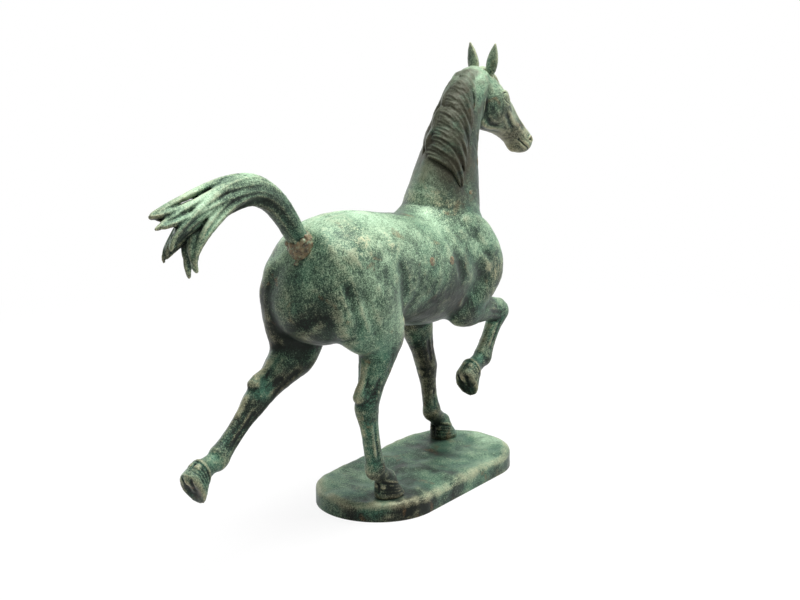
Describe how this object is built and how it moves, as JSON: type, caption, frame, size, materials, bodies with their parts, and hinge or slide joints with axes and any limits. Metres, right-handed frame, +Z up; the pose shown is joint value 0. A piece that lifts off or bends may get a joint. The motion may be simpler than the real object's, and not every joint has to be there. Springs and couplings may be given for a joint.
{
  "type": "bronze horse statuette",
  "caption": "Hollow cast bronze statuette of a trotting horse with a streaming tail, pinned together from castings and bolted to an oval ground plate; green patina.",
  "frame": {"origin": "middle of the ground plate's flat underside", "axes": "+X the way the horse goes, +Y the horse's left side, +Z up"},
  "size_m": [0.383, 0.085, 0.3031],
  "materials": {
    "patinated_bronze": "satin verdigris patina over cast bronze, dark in the hollows and rubbed on the high points",
    "filler_bronze": "dull brown bronze of pins, plugs and braze, lightly patinated",
    "plain_steel": "plain bright steel fasteners"
  },
  "bodies": {
    "root": {"body_casting": "patinated_bronze", "neck_casting": "patinated_bronze", "head_casting": "patinated_bronze", "left_ear": "patinated_bronze", "right_ear": "patinated_bronze", "mane_casting": "patinated_bronze", "forelock_casting": "patinated_bronze", "tail_casting": "patinated_bronze", "left_foreleg": "patinated_bronze", "right_foreleg": "patinated_bronze", "left_hind_leg": "patinated_bronze", "right_hind_leg": "patinated_bronze", "ground_plate": "patinated_bronze", "tail_braze": "filler_bronze", "neck_pins": "filler_bronze", "head_pin": "filler_bronze", "foreleg_pins": "filler_bronze", "hind_leg_pins": "filler_bronze", "tail_pin": "filler_bronze", "hair_dowels": "filler_bronze", "core_plugs": "filler_bronze", "hind_hoof_stud": "plain_steel", "fore_hoof_stud": "plain_steel", "plate_washers": "plain_steel", "plate_nuts": "plain_steel"}
  },
  "joints": []
}
